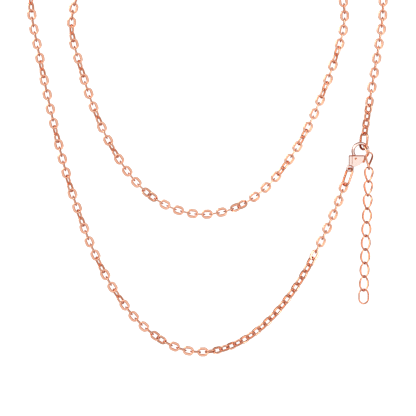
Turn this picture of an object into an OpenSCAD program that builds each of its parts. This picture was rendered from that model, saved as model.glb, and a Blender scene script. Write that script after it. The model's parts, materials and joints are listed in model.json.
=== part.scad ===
// Long cable chain necklace laid flat and wound twice, with a lobster clasp and an extender chain.
// Millimetres. X runs across the necklace, Y up towards the nape, Z up from the table.

/* [Chain links] */
// Diameter of the link wire before its broad faces are cut flat
wire_d = 0.62; // [0.5:0.01:0.66]
// Thickness of the wire across its two flat faces
wire_flat = 0.5; // [0.4:0.01:0.6]
// Centreline half width of a link
link_half_w = 1.15; // [1.05:0.01:1.2]
// Half length of a link's straight sides
link_half_s = 0.425; // [0.42:0.005:0.5]
// Height of the chain's centreline over the table
rest_z = 1.46; // [1.4:0.01:1.6]
// Lower centreline height where the links lie at a slant
slant_z = 1.2; // [1.13:0.01:1.46]
// Height of the centreline where one strand crosses over the other
cross_z = 4.45; // [4.4:0.01:4.8]

/* [Jump rings] */
// Wire diameter of both jump rings
ring_wire = 0.8; // [0.7:0.01:0.85]
// Centreline half width and half length of the ring at the clasp's bail
ring_a_half_w = 1.5; // [1.4:0.01:1.6]
ring_a_half_l = 2.95; // [2.94:0.01:2.96]
// Centreline half width and half length of the ring at the chain's other end
ring_b_half_w = 1.6; // [1.5:0.01:1.7]
ring_b_half_l = 2.75; // [2.74:0.01:2.76]
// Turn of each ring about its long axis
ring_a_roll = -54.5; // [-55:0.5:-54]
ring_b_roll = -52.7; // [-53:0.1:-52.5]
// Width of the butt joint left in a closed jump ring
ring_slit = 0.06; // [0.04:0.01:0.1]

/* [Extender] */
// Wire diameter of the extender's links
ext_wire = 0.55; // [0.5:0.01:0.58]
// Distance from one extender link to the next
ext_pitch = 4.516; // [4.4:0.001:4.6]
// Centreline half length of an extender link
ext_half_l = 2.56; // [2.54:0.01:2.6]
// Height of the extender's centreline over the table
ext_z = 0.96; // [0.94:0.01:1.1]
// Centreline half width and half length of the large end link
end_half_w = 1.75; // [1.6:0.01:1.8]
end_half_l = 2.4; // [2.2:0.01:2.5]
// Turn of the large end link about its long axis
end_roll = 22; // [20:1:23]

/* [Clasp] */
// Centreline radius of the hook and its wire diameter
hook_r = 2.55; // [2.45:0.01:2.6]
hook_wire = 1.05; // [0.95:0.01:1.06]
// Thickness of the clasp's body and of the slot for the gate
body_t = 2.4; // [2.2:0.01:2.5]
slot_t = 1.0; // [0.9:0.01:1.1]
// Thickness of the gate lever
gate_t = 0.76; // [0.7:0.01:0.8]
// Radius of the curved lower edge of the body
body_r = 3.85; // [3.7:0.01:4]
// Centreline radius of the bail and its wire diameter
bail_r = 0.95; // [0.9:0.01:1]
bail_wire = 0.6; // [0.5:0.01:0.62]
// Pivot pin diameter
pin_d = 0.7; // [0.6:0.01:0.8]
// Radial clearance of the gate on its pin
pin_gap = 0.04; // [0.02:0.01:0.08]

/* [Hidden] */

rose = [0.86, 0.55, 0.45];
rose_pale = [0.93, 0.68, 0.58];
steel = [0.7, 0.68, 0.66];
seam = 0.01;

// Where the drawing's own origin goes, so that the necklace is centred on X and Y.
shift = [0, -83, 0];

// The lie of the chain: x, y, heading in degrees and centreline height at each turning point.
// It starts at the clasp's ring, goes down the right of the outer loop, up its left, over the
// nape, round the inner loop, over the nape again and down to the other jump ring.
LIE = [
    [45.4, 57.4, 252, rest_z],
    [41.1, 46, 246, rest_z],
    [37, 37, 244, rest_z],
    [28.4, 22, 235, slant_z],
    [18.9, 10.75, 223, slant_z],
    [-2.9, 1.5, 179, rest_z],
    [-22.2, 10.75, 137, rest_z],
    [-31.1, 22, 123, rest_z],
    [-38.9, 37, 114, rest_z],
    [-42.3, 46, 110, rest_z],
    [-48.1, 64.5, 105, rest_z],
    [-52.1, 81, 103, rest_z],
    [-57.6, 107.5, 102, rest_z],
    [-21.4, 163.8, 0, rest_z],
    [0, 159, -27, rest_z],
    [44.1, 105, -107, rest_z],
    [40.3, 93.25, -109, rest_z],
    [35.8, 81.75, -113, rest_z],
    [30.3, 70.75, -120, rest_z],
    [20.1, 57, -135, rest_z],
    [-1.5, 47.25, -180, rest_z],
    [-23, 57, -226, rest_z],
    [-32.6, 70.75, -241, rest_z],
    [-37.6, 81.75, -248, rest_z],
    [-41.5, 93.25, -254, rest_z],
    [-44.8, 105, -258, rest_z],
    [-16, 149, -321, rest_z],
    [0, 159, -333, cross_z],
    [21.4, 163.8, -360, rest_z],
    [57.4, 107.5, -459, rest_z],
    [53.1, 81, -459, rest_z],
    [51.95, 73.9, -461, rest_z]
];

// Number of links between each turning point and the next.
LINKS = [5, 4, 7, 6, 10, 9, 6, 7, 4, 8, 7, 11, 31, 9, 32, 5, 5, 5, 7, 10, 10, 7, 5, 5, 5, 23, 8, 9, 32, 11, 3];

// Links at which the chain takes half a turn in three 60 degree steps in place of two square ones.
LAZY_TWISTS = [36, 44, 49, 56, 61, 68, 77, 86, 99,
    156, 161, 168, 173, 181, 194, 202, 207, 214, 219, 235];
// Links from which the chain lies another eighth of a turn over, in two equal steps.
SLANTS = [10, 30, 301];

// ---- the chain's path ----
steps = 40;
function turn(p, q) = abs((q[2] - p[2] + 900) % 360 - 180);
function reach(p, q) = norm([q[0] - p[0], q[1] - p[1]]) / (3 * pow(cos(turn(p, q) / 4), 2));
function ahead(p, d) = [p[0] + d * cos(p[2]), p[1] + d * sin(p[2])];
function mix(a, b, t) = a + (b - a) * t;
function bezier(a, b, c, d, t) =
    pow(1 - t, 3) * a + 3 * pow(1 - t, 2) * t * b + 3 * (1 - t) * t * t * c + pow(t, 3) * d;
function on_span(i, t) =
    let (p = LIE[i], q = LIE[i + 1], r = reach(p, q))
    bezier([p[0], p[1]], ahead(p, r), ahead(q, -r), [q[0], q[1]], t);
function pieces(i) = [for (k = [1:steps]) norm(on_span(i, k / steps) - on_span(i, (k - 1) / steps))];
function total(list, n) = n <= 0 ? 0 : list[n - 1] + total(list, n - 1);
function sums(list) = [for (k = [0:len(list)]) total(list, k)];
SUMS = [for (i = [0:len(LINKS) - 1]) sums(pieces(i))];
function span_length(i) = SUMS[i][steps];
function step_at(i, d) = [for (k = [1:steps]) if (SUMS[i][k] >= d - 0.000001) k][0];
function param_at(i, d) =
    let (k = step_at(i, d))
    (k - 1 + (d - SUMS[i][k - 1]) / (SUMS[i][k] - SUMS[i][k - 1])) / steps;
function first_link(i) = total(LINKS, i);
slant_step = 22.5;
function clamp(v, most) = max(0, min(most, v));
function roll_of(g) =
    90 * g
    - 30 * total([for (t = LAZY_TWISTS) clamp(g - t, 3)], len(LAZY_TWISTS))
    - slant_step * total([for (h = SLANTS) clamp(g - h + 1, 2)], len(SLANTS));

// Puts a child at link j of span i, its length along the chain.
module at_link(i, j) {
    f = (j + 0.5) / LINKS[i];
    t = param_at(i, f * span_length(i));
    p = on_span(i, t);
    q = on_span(i, t + 0.001) - on_span(i, t - 0.001);
    z0 = LIE[i][3];
    z1 = LIE[i + 1][3];
    z = mix(z0, z1, f * f * (3 - 2 * f));
    climb = atan((z1 - z0) * 6 * f * (1 - f) / span_length(i));
    translate([p[0], p[1], z] + shift)
        rotate([0, -climb, atan2(q[1], q[0])])
            rotate([roll_of(first_link(i) + j), 0, 0])
                children();
}

// ---- the main chain's link: an oblong of wire with its broad faces cut flat ----
module flat_wire() {
    intersection() {
        circle(d = wire_d, $fn = 24);
        square([2 * wire_d, wire_flat], center = true);
    }
}

module link_bow(side) {
    rotate(side)
        translate([link_half_s, 0, 0])
            rotate(-90)
                rotate_extrude(angle = 180, $fn = 48)
                    translate([link_half_w, 0])
                        flat_wire();
}

module link_bar(side) {
    translate([0, side * link_half_w, 0])
        rotate([90, 0, 90])
            linear_extrude(height = 2 * link_half_s, center = true)
                flat_wire();
}

module chain_link() {
    union() {
        link_bow(0);
        link_bar(1);
        link_bow(180);
        link_bar(-1);
    }
}

// Links first to first + count - 1 of one span.
module chain_run(span, first, count) {
    for (j = [first:first + count - 1])
        at_link(span, j)
            chain_link();
}

// ---- placing things between two points ----
// The child's X axis runs from a to b, its middle halfway, turned by roll about that axis.
module between(a, b, roll) {
    d = b - a;
    translate((a + b) / 2 + shift)
        rotate([0, -asin(d[2] / norm(d)), atan2(d[1], d[0])])
            rotate([roll, 0, 0])
                children();
}

// ---- jump rings and plain oval links ----
module ring_bow(half_w, half_s, wire, side) {
    rotate(side)
        translate([half_s, 0, 0])
            rotate(-90)
                rotate_extrude(angle = 180, $fn = 64)
                    translate([half_w, 0])
                        circle(d = wire, $fn = 32);
}

module ring_bar(half_w, half_s, wire, side) {
    translate([0, side * half_w, 0])
        rotate([0, 90, 0])
            cylinder(h = 2 * half_s, d = wire, center = true, $fn = 32);
}

module oval_ring(half_l, half_w, wire) {
    union() {
        ring_bow(half_w, half_l - half_w, wire, 0);
        ring_bar(half_w, half_l - half_w, wire, 1);
        ring_bow(half_w, half_l - half_w, wire, 180);
        ring_bar(half_w, half_l - half_w, wire, -1);
    }
}

module slit_ring(half_l, half_w, wire) {
    difference() {
        oval_ring(half_l, half_w, wire);
        translate([0, half_w, 0])
            cube([ring_slit, 2 * wire, 2 * wire], center = true);
    }
}

RING_A = [[45.47, 56.87, 1.62], [47.37, 62.45, 1.62]];
RING_B = [[51.54, 68.84, 1.88], [51.98, 74.3, 1.59]];

// ---- extender ----
// A twisted link is a closed curve: half_l along X, with each bow turned about the link's length,
// the two opposite ways, so that the next link hangs across it while both lie flat. wide and
// lean give the Y and Z reach of the curve's two ends, and belly widens its middle.
around = 40;
sides = 10;
function curve(h, wide, lean, belly, a) =
    [h * cos(a),
        sin(a) * (mix(wide[1], wide[0], (1 + cos(a)) / 2) + belly * pow(sin(a), 2)),
        sin(a) * mix(lean[1], lean[0], (1 + cos(a)) / 2)];
function unit(v) = v / norm(v);
function square_to(v, t) = unit(v - t * (v * t));
function skin(h, wide, lean, belly, wire) = [
    for (i = [0:around - 1])
        let (
            a = 360 * i / around,
            c = curve(h, wide, lean, belly, a),
            t = unit(curve(h, wide, lean, belly, a + 1) - curve(h, wide, lean, belly, a - 1)),
            n = square_to(c, t),
            m = cross(t, n)
        )
        for (j = [0:sides - 1])
            c + wire / 2 * (n * cos(360 * j / sides) + m * sin(360 * j / sides))
];
function corner(i, j) = (i % around) * sides + (j % sides);

module twisted_link(h, wide, lean, belly, wire) {
    polyhedron(
        points = skin(h, wide, lean, belly, wire),
        faces = [
            for (i = [0:around - 1])
                for (j = [0:sides - 1])
                    for (half = [0, 1])
                        half == 0
                            ? [corner(i, j), corner(i + 1, j), corner(i + 1, j + 1)]
                            : [corner(i, j), corner(i + 1, j + 1), corner(i, j + 1)]
        ],
        convexity = 6);
}

// The extender's line: top and bottom crown centres of link n, counted from the ring.
ext_top = [53.78, 67.43];
ext_foot = [51.75, 21.67];
ext_dir = (ext_foot - ext_top) / norm(ext_foot - ext_top);
function ext_point(d, z) = [ext_top[0] + ext_dir[0] * d, ext_top[1] + ext_dir[1] * d, z];
function ext_up(n) = ext_point((n - 2) * ext_pitch, ext_z);
function ext_low(n) = ext_point((n - 2) * ext_pitch + 2 * ext_half_l, ext_z);

// A teardrop: broad above, its sides drawn together below.
drop_lean = [0.4, -1.12];
module drop_link(n, wide, belly) {
    between(ext_low(n), ext_up(n), 0)
        twisted_link(ext_half_l, wide, drop_lean, belly, ext_wire);
}

round_wide = [1.12, 1.08];
round_lean = [0.8, -0.84];
round_belly = 0.27;
module round_link(n) {
    between(ext_low(n), ext_up(n), 0)
        twisted_link(ext_half_l, round_wide, round_lean, round_belly, ext_wire);
}

// ---- clasp, drawn face on with the middle of its bail at the origin ----
clasp_at = [47.23, 62.53, rest_z];
hook_c = [3.5, 5.7];
body_c = [0.85, 4.3];
pin_c = [1.75, 3.15];
tip_from = 16;
hook_to = 216;

module in_clasp() {
    translate(clasp_at + shift)
        children();
}

module body_outline() {
    union() {
        intersection() {
            translate(body_c)
                circle(r = body_r, $fn = 120);
            translate([body_c[0] - seam, body_c[1] - 2 * body_r])
                square([2 * body_r, 2 * body_r]);
        }
        translate([-0.4, 1.25])
            square([1.3, body_c[1] - 1.25]);
        translate([0.45, 1.3])
            circle(r = 0.85, $fn = 48);
    }
}

module slot_outline() {
    difference() {
        union() {
            intersection() {
                translate(body_c)
                    circle(r = body_r - 0.5, $fn = 120);
                translate([0.85, body_c[1] - 2 * body_r])
                    square([2 * body_r, 2 * body_r - 0.24]);
            }
            translate([2.35, 2.6])
                square([5, 3]);
            translate([3, 1.2])
                square([4, 4]);
        }
        translate([1.2, 0])
            circle(r = 0.9, $fn = 48);
    }
}

module hook_arm() {
    translate([hook_c[0], hook_c[1], 0])
        rotate(tip_from)
            rotate_extrude(angle = hook_to - tip_from, $fn = 120)
                translate([hook_r, 0])
                    circle(d = hook_wire, $fn = 48);
}

module bail() {
    rotate_extrude($fn = 96)
        translate([bail_r, 0])
            circle(d = bail_wire, $fn = 32);
}

module clasp_shell() {
    difference() {
        union() {
            linear_extrude(height = body_t, center = true)
                body_outline();
            hook_arm();
        }
        linear_extrude(height = slot_t, center = true)
            slot_outline();
        cylinder(r = bail_r, h = 2 * body_t, center = true, $fn = 96);
        translate([pin_c[0], pin_c[1], 0])
            cylinder(d = pin_d, h = 2 * body_t, center = true, $fn = 48);
    }
}

// The finger: a flat arc that carries the hook's line on down to the plate.
finger_w = 0.84;
module finger_outline() {
    intersection() {
        difference() {
            translate(hook_c)
                circle(r = hook_r + finger_w / 2, $fn = 120);
            translate(hook_c)
                circle(r = hook_r - finger_w / 2, $fn = 120);
        }
        polygon([[4.4, 3.3], [7, 2.9], [7.4, 6.3], [5.2, 6.2], [4.6, 4.6]]);
    }
}

module gate_outline() {
    difference() {
        union() {
            translate(pin_c)
                circle(r = 0.78, $fn = 48);
            polygon([[1.9, 2.42], [4.3, 1.9], [5.3, 3.1], [5.4, 4.1], [4.9, 4.2], [1.9, 3.88]]);
            translate([4.45, 2.3])
                circle(r = 0.5, $fn = 32);
            finger_outline();
        }
        translate(pin_c)
            circle(d = pin_d + 2 * pin_gap, $fn = 48);
    }
}

// ---- the pieces, one module each ----

module outer_right_1() {
    color(rose)
        chain_run(0, 0, 5);
}

module outer_right_2() {
    color(rose)
        chain_run(1, 0, 4);
}

module outer_right_3() {
    color(rose)
        chain_run(2, 0, 7);
}

module outer_right_4() {
    color(rose)
        chain_run(3, 0, 6);
}

module outer_bottom_1() {
    color(rose)
        chain_run(4, 0, 10);
}

module outer_bottom_2() {
    color(rose)
        chain_run(5, 0, 9);
}

module outer_left_1() {
    color(rose)
        chain_run(6, 0, 6);
}

module outer_left_2() {
    color(rose)
        chain_run(7, 0, 7);
}

module outer_left_3() {
    color(rose)
        chain_run(8, 0, 4);
}

module outer_left_4() {
    color(rose)
        chain_run(9, 0, 8);
}

module outer_left_5() {
    color(rose)
        chain_run(10, 0, 7);
}

module outer_left_6() {
    color(rose)
        chain_run(11, 0, 11);
}

module nape_a_1() {
    color(rose)
        chain_run(12, 0, 11);
}

module nape_a_2() {
    color(rose)
        chain_run(12, 11, 10);
}

module nape_a_3() {
    color(rose)
        chain_run(12, 21, 10);
}

module nape_a_4() {
    color(rose)
        chain_run(13, 0, 9);
}

module nape_a_5() {
    color(rose)
        chain_run(14, 0, 10);
}

module nape_a_6() {
    color(rose)
        chain_run(14, 10, 11);
}

module nape_a_7() {
    color(rose)
        chain_run(14, 21, 11);
}

module inner_right_1() {
    color(rose)
        chain_run(15, 0, 5);
}

module inner_right_2() {
    color(rose)
        chain_run(16, 0, 5);
}

module inner_right_3() {
    color(rose)
        chain_run(17, 0, 5);
}

module inner_right_4() {
    color(rose)
        chain_run(18, 0, 7);
}

module inner_bottom_1() {
    color(rose)
        chain_run(19, 0, 10);
}

module inner_bottom_2() {
    color(rose)
        chain_run(20, 0, 10);
}

module inner_left_1() {
    color(rose)
        chain_run(21, 0, 7);
}

module inner_left_2() {
    color(rose)
        chain_run(22, 0, 5);
}

module inner_left_3() {
    color(rose)
        chain_run(23, 0, 5);
}

module inner_left_4() {
    color(rose)
        chain_run(24, 0, 5);
}

module nape_b_1() {
    color(rose)
        chain_run(25, 0, 12);
}

module nape_b_2() {
    color(rose)
        chain_run(25, 12, 11);
}

module nape_b_3() {
    color(rose)
        chain_run(26, 0, 8);
}

module nape_b_4() {
    color(rose)
        chain_run(27, 0, 9);
}

module nape_b_5() {
    color(rose)
        chain_run(28, 0, 10);
}

module nape_b_6() {
    color(rose)
        chain_run(28, 10, 11);
}

module nape_b_7() {
    color(rose)
        chain_run(28, 21, 11);
}

module upper_right_1() {
    color(rose)
        chain_run(29, 0, 11);
}

module upper_right_2() {
    color(rose)
        chain_run(30, 0, 3);
}

module jump_ring_a() {
    color(rose_pale)
        between(RING_A[0], RING_A[1], ring_a_roll)
            slit_ring(ring_a_half_l, ring_a_half_w, ring_wire);
}

module jump_ring_b() {
    color(rose_pale)
        between(RING_B[0], RING_B[1], ring_b_roll)
            slit_ring(ring_b_half_l, ring_b_half_w, ring_wire);
}

module clasp_body() {
    color(rose_pale)
        in_clasp()
            union() {
                clasp_shell();
                bail();
            }
}

module clasp_gate() {
    color(rose)
        in_clasp()
            linear_extrude(height = gate_t, center = true)
                gate_outline();
}

module clasp_pin() {
    color(rose)
        in_clasp()
            translate([pin_c[0], pin_c[1], 0])
                cylinder(d = pin_d, h = body_t, center = true, $fn = 48);
}

// A leaf spring that lies along the slot's curved floor and bears on the gate's underside.
module clasp_spring() {
    color(steel)
        in_clasp()
            translate([2.35, 2.28, 0])
                rotate(200)
                    rotate_extrude(angle = 140, $fn = 64)
                        translate([0.62, 0])
                            square([0.14, 0.8], center = true);
}

// The small link that hangs from jump ring b and stands on edge beside the clasp's hook.
first_roll = 97.1;
first_half_l = 1.74;
first_half_w = 1;
module ext_link_01() {
    color(rose)
        between([51.64, 69.96, 2.25], [53.09, 66.98, 3.64], first_roll)
            oval_ring(first_half_l, first_half_w, ext_wire);
}

// The first curb link hangs over the gate, so it lies steeper, and its twist is the other way.
second_roll = 9.7;
second_half_l = 2.97;
module ext_link_02() {
    color(rose)
        between([53.56, 62.18, 0.88], [53.41, 67.7, 3.06], second_roll)
            twisted_link(second_half_l, [1.79, 0.13], [-0.32, 1.49], -0.06, ext_wire);
}

module ext_link_03() {
    color(rose)
        drop_link(3, [1.85, 0.3], 0.05);
}

module ext_link_04() {
    color(rose)
        drop_link(4, [1.85, 0.3], 0.05);
}

module ext_link_05() {
    color(rose)
        drop_link(5, [1.8, 0.42], 0.1);
}

module ext_link_06() {
    color(rose)
        round_link(6);
}

module ext_link_07() {
    color(rose)
        round_link(7);
}

module ext_link_08() {
    color(rose)
        round_link(8);
}

module ext_link_09() {
    color(rose)
        round_link(9);
}

module ext_link_10() {
    color(rose)
        round_link(10);
}

module ext_link_11() {
    color(rose)
        round_link(11);
}

module ext_link_12() {
    top = ext_point(10 * ext_pitch, ext_z);
    color(rose_pale)
        between(top + [0, -2 * end_half_l, 0], top, end_roll)
            oval_ring(end_half_l, end_half_w, ext_wire);
}

outer_right_1();
outer_right_2();
outer_right_3();
outer_right_4();
outer_bottom_1();
outer_bottom_2();
outer_left_1();
outer_left_2();
outer_left_3();
outer_left_4();
outer_left_5();
outer_left_6();
nape_a_1();
nape_a_2();
nape_a_3();
nape_a_4();
nape_a_5();
nape_a_6();
nape_a_7();
inner_right_1();
inner_right_2();
inner_right_3();
inner_right_4();
inner_bottom_1();
inner_bottom_2();
inner_left_1();
inner_left_2();
inner_left_3();
inner_left_4();
nape_b_1();
nape_b_2();
nape_b_3();
nape_b_4();
nape_b_5();
nape_b_6();
nape_b_7();
upper_right_1();
upper_right_2();
jump_ring_a();
jump_ring_b();
clasp_body();
clasp_gate();
clasp_pin();
clasp_spring();
ext_link_01();
ext_link_02();
ext_link_03();
ext_link_04();
ext_link_05();
ext_link_06();
ext_link_07();
ext_link_08();
ext_link_09();
ext_link_10();
ext_link_11();
ext_link_12();
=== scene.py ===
"""Looks of the chain necklace: rose gold cable chain, rings, clasp and extender on a white table."""

import json
import math

import bmesh
import bpy
import numpy as np
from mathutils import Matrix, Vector

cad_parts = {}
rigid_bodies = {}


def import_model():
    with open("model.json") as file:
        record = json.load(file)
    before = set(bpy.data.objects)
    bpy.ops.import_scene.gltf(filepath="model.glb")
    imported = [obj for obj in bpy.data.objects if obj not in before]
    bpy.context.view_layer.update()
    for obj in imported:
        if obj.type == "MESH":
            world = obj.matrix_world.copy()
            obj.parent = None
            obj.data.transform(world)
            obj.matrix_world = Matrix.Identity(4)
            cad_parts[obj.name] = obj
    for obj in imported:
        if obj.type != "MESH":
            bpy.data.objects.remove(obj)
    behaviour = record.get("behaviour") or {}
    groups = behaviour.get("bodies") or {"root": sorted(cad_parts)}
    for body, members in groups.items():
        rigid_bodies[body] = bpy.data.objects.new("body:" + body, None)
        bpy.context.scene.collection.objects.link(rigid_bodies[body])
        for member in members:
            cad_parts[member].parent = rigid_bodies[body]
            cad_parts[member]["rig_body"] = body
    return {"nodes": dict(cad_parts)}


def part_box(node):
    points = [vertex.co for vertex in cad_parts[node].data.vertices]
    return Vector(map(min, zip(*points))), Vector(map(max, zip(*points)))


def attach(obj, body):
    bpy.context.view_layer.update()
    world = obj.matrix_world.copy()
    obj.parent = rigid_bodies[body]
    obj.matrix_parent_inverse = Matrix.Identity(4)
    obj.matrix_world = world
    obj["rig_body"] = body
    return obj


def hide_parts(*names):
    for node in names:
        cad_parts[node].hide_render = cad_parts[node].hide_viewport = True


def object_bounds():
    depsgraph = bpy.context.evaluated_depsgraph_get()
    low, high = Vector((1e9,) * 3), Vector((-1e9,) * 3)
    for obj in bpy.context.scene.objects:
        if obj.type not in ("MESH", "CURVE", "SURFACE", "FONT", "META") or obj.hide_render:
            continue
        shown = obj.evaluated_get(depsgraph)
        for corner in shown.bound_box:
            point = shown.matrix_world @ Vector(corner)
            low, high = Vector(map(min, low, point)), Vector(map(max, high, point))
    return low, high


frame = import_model()
cad_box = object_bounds()
MM = 0.001

# ---- driving dimensions, in millimetres ----
# LINK_SIDE (inward), PROUD (outward) and EXT_SIDE (both ways) make the sides of the wire wider than
# the CAD's wire, after the photo. The CAD doesn't have this width.
LINK_HALF_LENGTH = 1.575
LINK_HALF_WIDTH = 1.15
LINK_WIRE = 0.62
LINK_FLAT = 0.5
LINK_SIDE = 0.2
PROUD = 0.08
EXT_SIDE = 0.09
RING_WIRE = 0.8
RING_SLIT = 0.06
EXT_WIRE = 0.55
FIELD = 138.67
CAMERA_Y = -33.67
LENS = 120.0
SENSOR = 36.0
TABLE_HALF = 2000.0

# ---- mesh work ----
# Lengths are in millimetres. ANY_ANGLE is in radians and above pi, so that every pair of triangles may
# join. The steps are those round the line and those round the section.
WELD = 0.002
ANY_ANGLE = 3.2
CAST_VOXEL = 0.06
CAST_ROUNDS = 4
LINK_STEPS = (56, 20)
OVAL_STEPS = (96, 24)


# ---- meshes ----
def set_painted_light_tone(obj, values):
    """Stores how pale each vertex is, as painted light: 0 is painted shade on the inner side of a wire, 1 a
    painted highlight on a broad face.
    """
    tone = obj.data.attributes.new("tone", "FLOAT", "POINT")
    tone.data.foreach_set("value", np.clip(np.asarray(values, dtype=float), 0, 1).astype(np.float32))


def new_object(name, verts, faces, smooth=True):
    mesh = bpy.data.meshes.new(name)
    mesh.from_pydata([tuple(v) for v in verts], [], faces)
    mesh.update()
    obj = bpy.data.objects.new(name, mesh)
    bpy.context.scene.collection.objects.link(obj)
    if smooth:
        mesh.polygons.foreach_set("use_smooth", [True] * len(mesh.polygons))
    return obj


def welded(node):
    """The CAD node's mesh with its doubled vertices joined."""
    bm = bmesh.new()
    bm.from_mesh(frame["nodes"][node].data)
    bmesh.ops.remove_doubles(bm, verts=bm.verts, dist=WELD * MM)
    return bm


def solids(node):
    """The separate solids of a CAD node, each as (vertices, triangles) in metres."""
    bm = welded(node)
    bmesh.ops.triangulate(bm, faces=bm.faces)
    bm.verts.ensure_lookup_table()
    seen = set()
    found = []
    for start in bm.verts:
        if start.index in seen:
            continue
        seen.add(start.index)
        group = [start]
        for v in group:
            for e in v.link_edges:
                other = e.other_vert(v)
                if other.index not in seen:
                    seen.add(other.index)
                    group.append(other)
        order = {v.index: k for k, v in enumerate(group)}
        faces = {f for v in group for f in v.link_faces}
        tris = [[order[v.index] for v in f.verts] for f in sorted(faces, key=lambda f: f.index)]
        found.append((np.array([v.co for v in group]), np.array(tris)))
    bm.free()
    return found


def axes_of(verts, tris):
    """Centre and axes (rows: longest, middle, shortest) of a ring-like solid, from its surface."""
    a, b, c = (verts[tris[:, k]] for k in range(3))
    area = np.linalg.norm(np.cross(b - a, c - a), axis=1) / 2
    mid = (a + b + c) / 3
    centre = (mid * area[:, None]).sum(0) / area.sum()
    spread = np.zeros((3, 3))
    for corner, share in ((a, 1), (b, 1), (c, 1), (mid, 9)):
        d = corner - centre
        spread += (d * (area * share)[:, None]).T @ d / 12
    values, vectors = np.linalg.eigh(spread)
    rows = vectors[:, ::-1].T
    if np.linalg.det(rows) < 0:
        rows[2] = -rows[2]
    local = (verts - centre) @ rows.T
    centre = centre + (local.max(0) + local.min(0)) / 2 @ rows
    return centre, rows


def oval_line(half_length, half_width, count, slit=0.0):
    """Points and outward normals round an oblong with round ends, in millimetres, open by slit at its top."""
    straight = half_length - half_width
    bow = math.pi * half_width
    whole = 2 * bow + 4 * straight
    points = []
    for k in range(count):
        s = whole * (k + 0.5) / count
        if slit:
            s = (bow + straight + slit / 2 + (whole - slit) * k / (count - 1)) % whole
        side = 1
        if s > whole / 2:
            s -= whole / 2
            side = -1
        if s < bow:
            a = s / half_width - math.pi / 2
            p = (straight + half_width * math.cos(a), half_width * math.sin(a))
            n = (math.cos(a), math.sin(a))
        else:
            p = (straight - (s - bow), half_width)
            n = (0.0, 1.0)
        points.append((side * p[0], side * p[1], side * n[0], side * n[1]))
    return points


def flat_section(wire, flat, count):
    """Round wire with its two broad faces cut flat: (outward, up) pairs."""
    r = wire / 2
    ring = [2 * math.pi * (k + 0.5) / count for k in range(count)]
    return [(r * math.cos(b), max(-flat / 2, min(flat / 2, r * math.sin(b)))) for b in ring]


def sweep(line, section, grow=0.0, proud=0.0, slit=False):
    """Vertices, faces and painted light tones of a section swept round a flat line; its sides widen inward
    and outward.
    """
    reach = max(u for u, v in section)
    top = max(v for u, v in section)
    verts = []
    tones = []
    for x, y, nx, ny in line:
        for u, v in section:
            inner = 0.5 - 0.5 * u / reach
            d = u + abs(ny) ** 2 * (proud * (1 - inner) - grow * inner)
            verts.append((x + nx * d, y + ny * d, v))
            # Painted light: painted shade on the inner side of the wire, paler towards its outer side, and a
            # painted highlight on the flat faces.
            tones.append(0.25 + 0.3 * u / reach + (0.45 if abs(v) > top * 0.999 and top < reach else 0))
    m = len(section)
    n = len(line)
    faces = []
    for i in range(n - 1 if slit else n):
        for j in range(m):
            a = i * m + j
            b = i * m + (j + 1) % m
            c = (i + 1) % n * m + (j + 1) % m
            d = (i + 1) % n * m + j
            faces.append((a, d, c, b))
    if slit:
        faces.append(tuple(range(m)))
        faces.append(tuple((n - 1) * m + j for j in reversed(range(m))))
    return np.array(verts), faces, tones


def stamp(name, shape, places):
    """An object with the shape, in millimetres, put at each (centre, axes) place, cut off at the table."""
    verts, faces, tones = shape
    count = len(verts)
    points = np.concatenate([verts * MM @ rows + centre for centre, rows in places])
    points[:, 2] = np.maximum(points[:, 2], cad_box[0][2])
    quads = [tuple(k * count + i for i in f) for k in range(len(places)) for f in faces]
    obj = new_object(name, points, quads)
    set_painted_light_tone(obj, list(tones) * len(places))
    return obj


# ---- materials ----
def metal(name, pale, deep, roughness, wear, scale):
    """Polished metal whose colour runs from painted shade (deep) to painted highlight (pale) by the tone
    attribute, with slight tone drift, fine scratches and softer gloss where it has rubbed.
    """
    mat = bpy.data.materials.new(name)
    mat.use_nodes = True
    nodes = mat.node_tree.nodes
    links = mat.node_tree.links
    shader = nodes["Principled BSDF"]
    shader.inputs["Metallic"].default_value = 1.0
    coords = nodes.new("ShaderNodeTexCoord")

    def noise(size, detail):
        node = nodes.new("ShaderNodeTexNoise")
        node.inputs["Scale"].default_value = size
        node.inputs["Detail"].default_value = detail
        links.new(coords.outputs["Object"], node.inputs["Vector"])
        return node

    tone = noise(scale, 3.0)
    drift = nodes.new("ShaderNodeMapRange")
    drift.inputs["From Min"].default_value = 0.3
    drift.inputs["From Max"].default_value = 0.7
    drift.inputs["To Min"].default_value = -0.12
    drift.inputs["To Max"].default_value = 0.12
    links.new(tone.outputs["Fac"], drift.inputs["Value"])
    # Painted light: the tone attribute holds painted shade and painted highlight, and the ramp turns it into
    # a deep to pale base colour.
    painted_light_attribute = nodes.new("ShaderNodeAttribute")
    painted_light_attribute.attribute_name = "tone"
    both = nodes.new("ShaderNodeMath")
    both.operation = "ADD"
    links.new(painted_light_attribute.outputs["Fac"], both.inputs[0])
    links.new(drift.outputs["Result"], both.inputs[1])
    ramp = nodes.new("ShaderNodeValToRGB")
    ramp.color_ramp.elements[0].position = 0.05
    ramp.color_ramp.elements[0].color = (*deep, 1)
    ramp.color_ramp.elements[1].position = 0.95
    ramp.color_ramp.elements[1].color = (*pale, 1)
    links.new(both.outputs["Value"], ramp.inputs["Fac"])
    links.new(ramp.outputs["Color"], shader.inputs["Base Color"])

    rub = noise(scale * 6, 4.0)
    gloss = nodes.new("ShaderNodeMapRange")
    gloss.inputs["To Min"].default_value = roughness
    gloss.inputs["To Max"].default_value = roughness + wear
    links.new(rub.outputs["Fac"], gloss.inputs["Value"])
    links.new(gloss.outputs["Result"], shader.inputs["Roughness"])

    scratch = noise(scale * 25, 2.0)
    bump = nodes.new("ShaderNodeBump")
    bump.inputs["Strength"].default_value = 0.12
    bump.inputs["Distance"].default_value = 0.00001
    links.new(scratch.outputs["Fac"], bump.inputs["Height"])
    links.new(bump.outputs["Normal"], shader.inputs["Normal"])
    return mat


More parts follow.
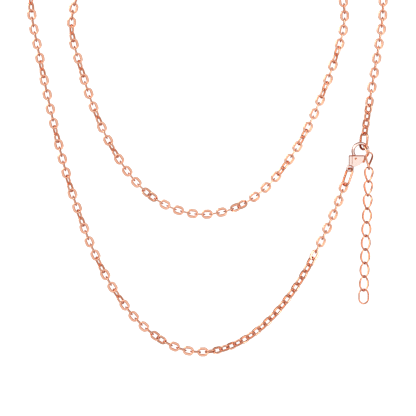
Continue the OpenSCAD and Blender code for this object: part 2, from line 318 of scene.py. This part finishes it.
# The first colour of each metal is its painted highlight and the second its painted shade; the clasp body's
# metal has a paler painted highlight and a deeper painted shade.
ROSE = metal("rose_gold", (0.97, 0.58, 0.42), (0.70, 0.20, 0.08), 0.10, 0.10, 250.0)
ROSE_STRONG_PAINTED_LIGHT = metal("rose_gold_cast_strong_painted_light", (0.99, 0.78, 0.70), (0.42, 0.09, 0.035), 0.12, 0.10, 220.0)
STEEL = metal("spring_steel", (0.66, 0.63, 0.60), (0.50, 0.47, 0.45), 0.28, 0.12, 300.0)


def finish_piece(obj, mat, node):
    """Gives a piece its material and puts it in its CAD node's place."""
    obj.data.materials.clear()
    obj.data.materials.append(mat)
    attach(obj, frame["nodes"][node]["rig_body"])
    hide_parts(node)


# ---- main chain ----
LINK = sweep(
    oval_line(LINK_HALF_LENGTH, LINK_HALF_WIDTH, LINK_STEPS[0]),
    flat_section(LINK_WIRE, LINK_FLAT, LINK_STEPS[1]),
    LINK_SIDE,
    PROUD,
)
CHAIN = ("outer", "nape", "inner", "upper")
for node in sorted(frame["nodes"]):
    if node.startswith(CHAIN):
        places = [axes_of(*s) for s in solids(node)]
        piece = stamp(node + ".links", LINK, places)
        finish_piece(piece, ROSE, node)


# ---- jump rings and extender ----
def oval_size(node):
    """Place and outer half length and half width of a one-piece oval node, in millimetres."""
    verts, tris = solids(node)[0]
    centre, rows = axes_of(verts, tris)
    local = (verts - centre) @ rows.T / MM
    return (centre, rows), local[:, 0].max(), local[:, 1].max()


def plain_oval(node, wire, mat, slit=0.0):
    """Replaces a one-piece oval node; a slit is turned to the side where the CAD has it."""
    (centre, rows), half_length, half_width = oval_size(node)
    if slit:
        local = (solids(node)[0][0] - centre) @ rows.T / MM
        cut = local[(np.abs(local[:, 0]) < slit) & (np.abs(local[:, 2]) < wire)]
        if cut[:, 1].mean() < 0:
            rows = rows * np.array([[-1], [-1], [1]])
    place = (centre, rows)
    line = oval_line(half_length - wire / 2, half_width - wire / 2, OVAL_STEPS[0], slit)
    shape = sweep(line, flat_section(wire, wire, OVAL_STEPS[1]), slit=slit > 0)
    piece = stamp(node + ".wire", shape, [place])
    finish_piece(piece, mat, node)


def freeze(obj):
    """Applies the object's modifiers to its mesh."""
    graph = bpy.context.evaluated_depsgraph_get()
    mesh = bpy.data.meshes.new_from_object(obj.evaluated_get(graph))
    obj.modifiers.clear()
    obj.data = mesh


def mesh_arrays(obj):
    """Vertex positions and normals of an object's mesh."""
    mesh = obj.data
    points = np.empty(3 * len(mesh.vertices))
    mesh.vertices.foreach_get("co", points)
    normals = np.array([n.vector for n in mesh.vertex_normals])
    return points.reshape(-1, 3), normals


def smooth_copy(node, levels):
    """A smooth subdivided copy of a faceted CAD node, with painted shade on its inner side and paler painted
    light on its outer side.
    """
    piece = new_object(node + ".wire", [], [])
    bm = welded(node)
    bmesh.ops.join_triangles(
        bm, faces=bm.faces, angle_face_threshold=ANY_ANGLE, angle_shape_threshold=ANY_ANGLE
    )
    for f in bm.faces:
        f.smooth = True
    bm.to_mesh(piece.data)
    bm.free()
    sub = piece.modifiers.new("round", "SUBSURF")
    sub.levels = levels
    sub.render_levels = levels
    freeze(piece)
    points, normals = mesh_arrays(piece)
    out = points - points.mean(0)
    out /= np.linalg.norm(out, axis=1)[:, None]
    # Painted light: paler where the surface faces outward, painted shade where it faces inward.
    set_painted_light_tone(piece, 0.25 + 0.35 * (out * normals).sum(1))
    verts, tris = solids(node)[0]
    centre, rows = axes_of(verts, tris)
    along = (points - centre) @ rows[0]
    share = np.clip(1.6 - 2.2 * np.abs(along) / np.abs(along).max(), 0, 1)
    points[:, :2] += normals[:, :2] * (EXT_SIDE * MM * share)[:, None]
    piece.data.vertices.foreach_set("co", points.ravel())
    piece.data.update()
    return piece


for node in ("jump_ring_a", "jump_ring_b"):
    plain_oval(node, RING_WIRE, ROSE, RING_SLIT)
for node in ("ext_link_01", "ext_link_12"):
    plain_oval(node, EXT_WIRE, ROSE)
for number in range(2, 12):
    node = f"ext_link_{number:02d}"
    piece = smooth_copy(node, 1)
    finish_piece(piece, ROSE, node)


# ---- clasp, in millimetres on the clasp's own axes ----
PIN_PLACE = (1.75, 3.15)
PLATE_TOP = 4.3
PLATE_FOOT = 1.3
SPINE_X = (-0.4, 0.55)
PLATE_C = (0.85, 4.3)
PLATE_R = 3.85
# Width in millimetres of the painted shade lines on the clasp plate.
PAINTED_SHADE_LINE = 0.16


def clasp_painted_light_tone(points, normals):
    """Painted light: a pale painted highlight on faces turned up, painted shade on the walls, and deep
    painted shade lines along the plate's top edge, spine and rim.
    """
    low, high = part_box("clasp_pin")
    pin = (np.array(low) + np.array(high)) / 2
    x, y = (points[:, :2] - pin[:2]).T / MM
    x, y = x + PIN_PLACE[0], y + PIN_PLACE[1]
    plate = (y > PLATE_FOOT) & (y < PLATE_TOP + 0.1)
    line = plate & (y > PLATE_TOP - 2.4 * PAINTED_SHADE_LINE)
    for edge in SPINE_X:
        line |= plate & (np.abs(x - edge) < PAINTED_SHADE_LINE / 2)
    line |= plate & (x > PLATE_C[0]) & (np.hypot(x - PLATE_C[0], y - PLATE_C[1]) > PLATE_R - PAINTED_SHADE_LINE / 2)
    # Painted highlight on faces turned up, painted shade on walls; the lines get the deepest painted shade.
    tone = 0.1 + 0.9 * np.abs(normals[:, 2]) ** 8
    return np.where(line, 0.0, tone)


def cast_copy(node, voxel, rounds):
    """The CAD solid with softly rounded edges, as a tumbled casting has."""
    piece = new_object(node + ".cast", [], [])
    bm = welded(node)
    bm.to_mesh(piece.data)
    bm.free()
    remesh = piece.modifiers.new("cast", "REMESH")
    remesh.mode = "VOXEL"
    remesh.voxel_size = voxel * MM
    remesh.use_smooth_shade = True
    soft = piece.modifiers.new("tumble", "SMOOTH")
    soft.factor = 0.5
    soft.iterations = rounds
    freeze(piece)
    points, normals = mesh_arrays(piece)
    # Painted light on the casting: painted highlight on faces turned up, painted shade on its walls and edge
    # lines.
    set_painted_light_tone(piece, clasp_painted_light_tone(points, normals))
    return piece


for node, mat in (("clasp_body", ROSE_STRONG_PAINTED_LIGHT), ("clasp_gate", ROSE)):
    piece = cast_copy(node, CAST_VOXEL, CAST_ROUNDS)
    finish_piece(piece, mat, node)
for node, mat, slot in (("clasp_pin", ROSE, "rose_gold"), ("clasp_spring", STEEL, "spring_steel")):
    obj = frame["nodes"][node]
    obj.data.materials.clear()
    obj.data.materials.append(mat)


# ---- table, light and camera ----
def white_table():
    """The table glows white to the camera, and only a quarter as much to what reflects it."""
    mat = bpy.data.materials.new("white_table")
    mat.use_nodes = True
    shader = mat.node_tree.nodes["Principled BSDF"]
    shader.inputs["Base Color"].default_value = (0.3, 0.3, 0.3, 1)
    shader.inputs["Roughness"].default_value = 0.9
    shader.inputs["Emission Color"].default_value = (1, 1, 1, 1)
    path = mat.node_tree.nodes.new("ShaderNodeLightPath")
    glow = mat.node_tree.nodes.new("ShaderNodeMapRange")
    glow.inputs["To Min"].default_value = 0.25
    glow.inputs["To Max"].default_value = 1.0
    mat.node_tree.links.new(path.outputs["Is Camera Ray"], glow.inputs["Value"])
    mat.node_tree.links.new(glow.outputs["Result"], shader.inputs["Emission Strength"])
    half = TABLE_HALF * MM
    table = new_object(
        "table", [(-half, -half, 0), (half, -half, 0), (half, half, 0), (-half, half, 0)], [(0, 1, 2, 3)]
    )
    table.data.materials.append(mat)


def area_light(name, place, size, power, color):
    data = bpy.data.lights.new(name, "AREA")
    data.shape = "DISK"
    data.size = size
    data.energy = power
    data.color = color
    obj = bpy.data.objects.new(name, data)
    obj.location = place
    aim = Vector((0, CAMERA_Y * MM, 0)) - Vector(place)
    obj.rotation_euler = aim.to_track_quat("-Z", "Y").to_euler()
    bpy.context.scene.collection.objects.link(obj)


white_table()
area_light("key", (-0.5, 0.45, 0.8), 0.5, 5.0, (1, 0.98, 0.96))
area_light("fill", (0.6, -0.4, 0.7), 0.6, 2.0, (1, 1, 1))

bpy.context.scene.view_settings.view_transform = "Standard"
world = bpy.data.worlds.new("studio")
bpy.context.scene.world = world
world.use_nodes = True
wn = world.node_tree.nodes
wl = world.node_tree.links
coords = wn.new("ShaderNodeTexCoord")
split = wn.new("ShaderNodeSeparateXYZ")
sky = wn.new("ShaderNodeValToRGB")
sky.color_ramp.elements[0].position = 0.05
sky.color_ramp.elements[0].color = (0.16, 0.15, 0.15, 1)
sky.color_ramp.elements[1].position = 0.8
sky.color_ramp.elements[1].color = (1, 1, 1, 1)
wl.new(coords.outputs["Generated"], split.inputs["Vector"])
wl.new(split.outputs["Z"], sky.inputs["Fac"])
wl.new(sky.outputs["Color"], wn["Background"].inputs["Color"])
wn["Background"].inputs["Strength"].default_value = 1.0

camera = bpy.data.objects.new("camera", bpy.data.cameras.new("camera"))
camera.data.lens = LENS
camera.data.sensor_width = SENSOR
camera.data.clip_start = 0.01
camera.data.clip_end = 20
camera.location = (0, CAMERA_Y * MM, FIELD * MM * LENS / SENSOR)
bpy.context.scene.collection.objects.link(camera)
bpy.context.scene.camera = camera
